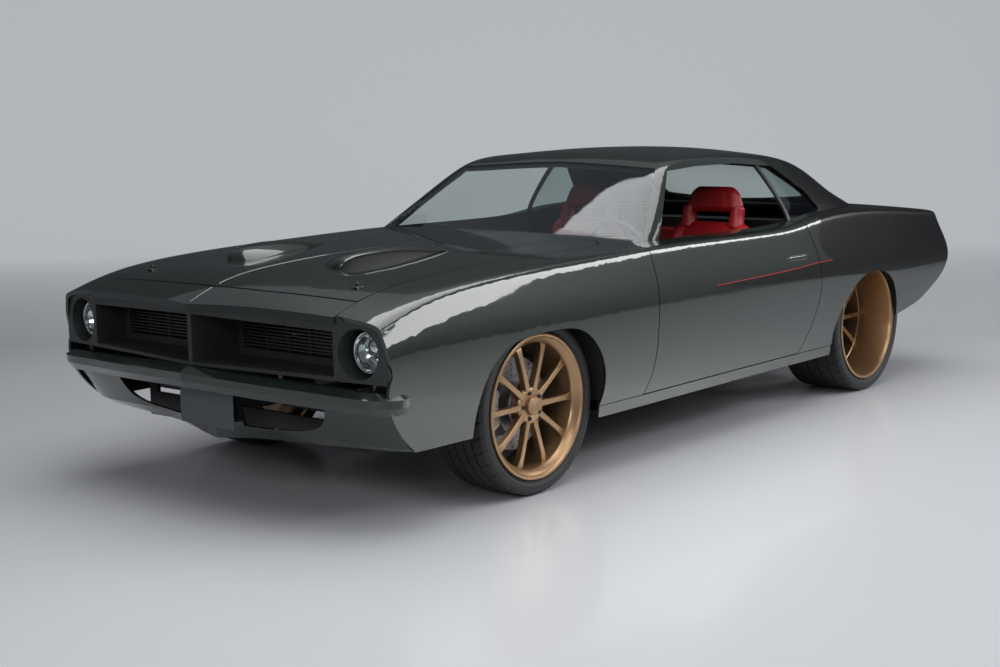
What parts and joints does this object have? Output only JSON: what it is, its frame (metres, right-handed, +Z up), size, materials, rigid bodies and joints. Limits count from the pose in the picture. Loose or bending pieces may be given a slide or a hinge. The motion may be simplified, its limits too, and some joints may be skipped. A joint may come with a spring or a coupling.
{
  "type": "two-door muscle car",
  "caption": "Low two-door hardtop car with a long hood, opening doors, hood and deck lid, a hollow cabin with seats, and steered, turning wheels.",
  "frame": {"origin": "on the ground below the middle of the bounding box", "axes": "+X to the car's left side, +Y to its rear, +Z up"},
  "size_m": [1.8984, 4.742, 1.2863],
  "materials": {
    "body_paint": "gloss",
    "satin_dark": "satin",
    "lamp_glass": "clear",
    "plate_grey": "satin",
    "tail_lens": "gloss",
    "window_glass": "clear",
    "black_trim": "gloss",
    "underbody": "satin",
    "cabin_black": "matt",
    "red_leather": "satin",
    "engine_iron": "cast",
    "driveline_steel": "satin",
    "exhaust_steel": "satin",
    "chassis_black": "cast",
    "steering_black": "satin",
    "tyre_rubber": "matt",
    "bronze_wheel": "satin",
    "disc_iron": "machined"
  },
  "bodies": {
    "body": {"front_fenders": "body_paint", "quarter_panels": "body_paint", "rocker_panels": "body_paint", "roof_panel": "body_paint", "cowl_panel": "body_paint", "rear_deck_panel": "body_paint", "nose_panel": "body_paint", "grille_surround": "satin_dark", "grille_bars": "satin_dark", "headlamps": "lamp_glass", "front_bumper": "body_paint", "front_valance": "body_paint", "front_plate": "plate_grey", "tail_panel": "satin_dark", "tail_lamps": "tail_lens", "rear_bumper": "body_paint", "rear_valance": "body_paint", "window_glass": "window_glass", "window_trim": "black_trim", "floor_pan": "underbody", "firewall": "underbody", "wheelhouses": "underbody", "dashboard": "cabin_black", "front_seats": "red_leather", "rear_seat": "red_leather", "engine_block": "engine_iron", "driveline": "driveline_steel", "exhaust": "exhaust_steel", "fuel_tank": "underbody", "front_suspension": "chassis_black", "rear_axle": "chassis_black"},
    "hood": {"hood": "body_paint"},
    "deck_lid": {"deck_lid": "body_paint"},
    "door_left": {"door_left": "body_paint"},
    "door_right": {"door_right": "body_paint"},
    "steering_wheel": {"steering_wheel": "steering_black"},
    "knuckle_left": {"knuckle_left": "chassis_black"},
    "knuckle_right": {"knuckle_right": "chassis_black"},
    "wheel_front_left": {"tyre_front_left": "tyre_rubber", "rim_front_left": "bronze_wheel", "brake_disc_front_left": "disc_iron"},
    "wheel_front_right": {"tyre_front_right": "tyre_rubber", "rim_front_right": "bronze_wheel", "brake_disc_front_right": "disc_iron"},
    "wheel_rear_left": {"tyre_rear_left": "tyre_rubber", "rim_rear_left": "bronze_wheel", "brake_disc_rear_left": "disc_iron"},
    "wheel_rear_right": {"tyre_rear_right": "tyre_rubber", "rim_rear_right": "bronze_wheel", "brake_disc_rear_right": "disc_iron"}
  },
  "joints": [
    {"name": "door_left_hinge", "type": "hinge", "parent": "body", "child": "door_left", "pos_m": [0.95, -0.7, 0.6], "axis": [0, 0, -1], "range_deg": [0, 65]},
    {"name": "door_right_hinge", "type": "hinge", "parent": "body", "child": "door_right", "pos_m": [-0.95, -0.7, 0.6], "axis": [0, 0, 1], "range_deg": [0, 65]},
    {"name": "hood_hinge", "type": "hinge", "parent": "body", "child": "hood", "pos_m": [0, -0.6828, 0.94], "axis": [-1, 0, 0], "range_deg": [0, 50]},
    {"name": "deck_lid_hinge", "type": "hinge", "parent": "body", "child": "deck_lid", "pos_m": [0, 1.7166, 0.962], "axis": [1, 0, 0], "range_deg": [0, 75]},
    {"name": "steer_left", "type": "hinge", "parent": "body", "child": "knuckle_left", "pos_m": [0.665, -1.3585, 0.345], "axis": [0, 0, 1], "range_deg": [-30, 30]},
    {"name": "steer_right", "type": "hinge", "parent": "body", "child": "knuckle_right", "pos_m": [-0.665, -1.3585, 0.345], "axis": [0, 0, 1], "range_deg": [-30, 30]},
    {"name": "steering_wheel_turn", "type": "hinge", "parent": "body", "child": "steering_wheel", "pos_m": [0.37, -0.11, 0.812], "axis": [0, 0.9135, 0.4067], "range_deg": [-450, 450]},
    {"name": "spin_front_left", "type": "hinge", "parent": "knuckle_left", "child": "wheel_front_left", "pos_m": [0.75, -1.3585, 0.345], "axis": [1, 0, 0], "continuous": true},
    {"name": "spin_front_right", "type": "hinge", "parent": "knuckle_right", "child": "wheel_front_right", "pos_m": [-0.75, -1.3585, 0.345], "axis": [1, 0, 0], "continuous": true},
    {"name": "spin_rear_left", "type": "hinge", "parent": "body", "child": "wheel_rear_left", "pos_m": [0.726, 1.3845, 0.36], "axis": [1, 0, 0], "continuous": true},
    {"name": "spin_rear_right", "type": "hinge", "parent": "body", "child": "wheel_rear_right", "pos_m": [-0.726, 1.3845, 0.36], "axis": [1, 0, 0], "continuous": true}
  ],
  "couplings": [
    {"joint": "steer_right", "follows": "steer_left", "ratio": 1},
    {"joint": "steering_wheel_turn", "follows": "steer_left", "ratio": 15}
  ]
}
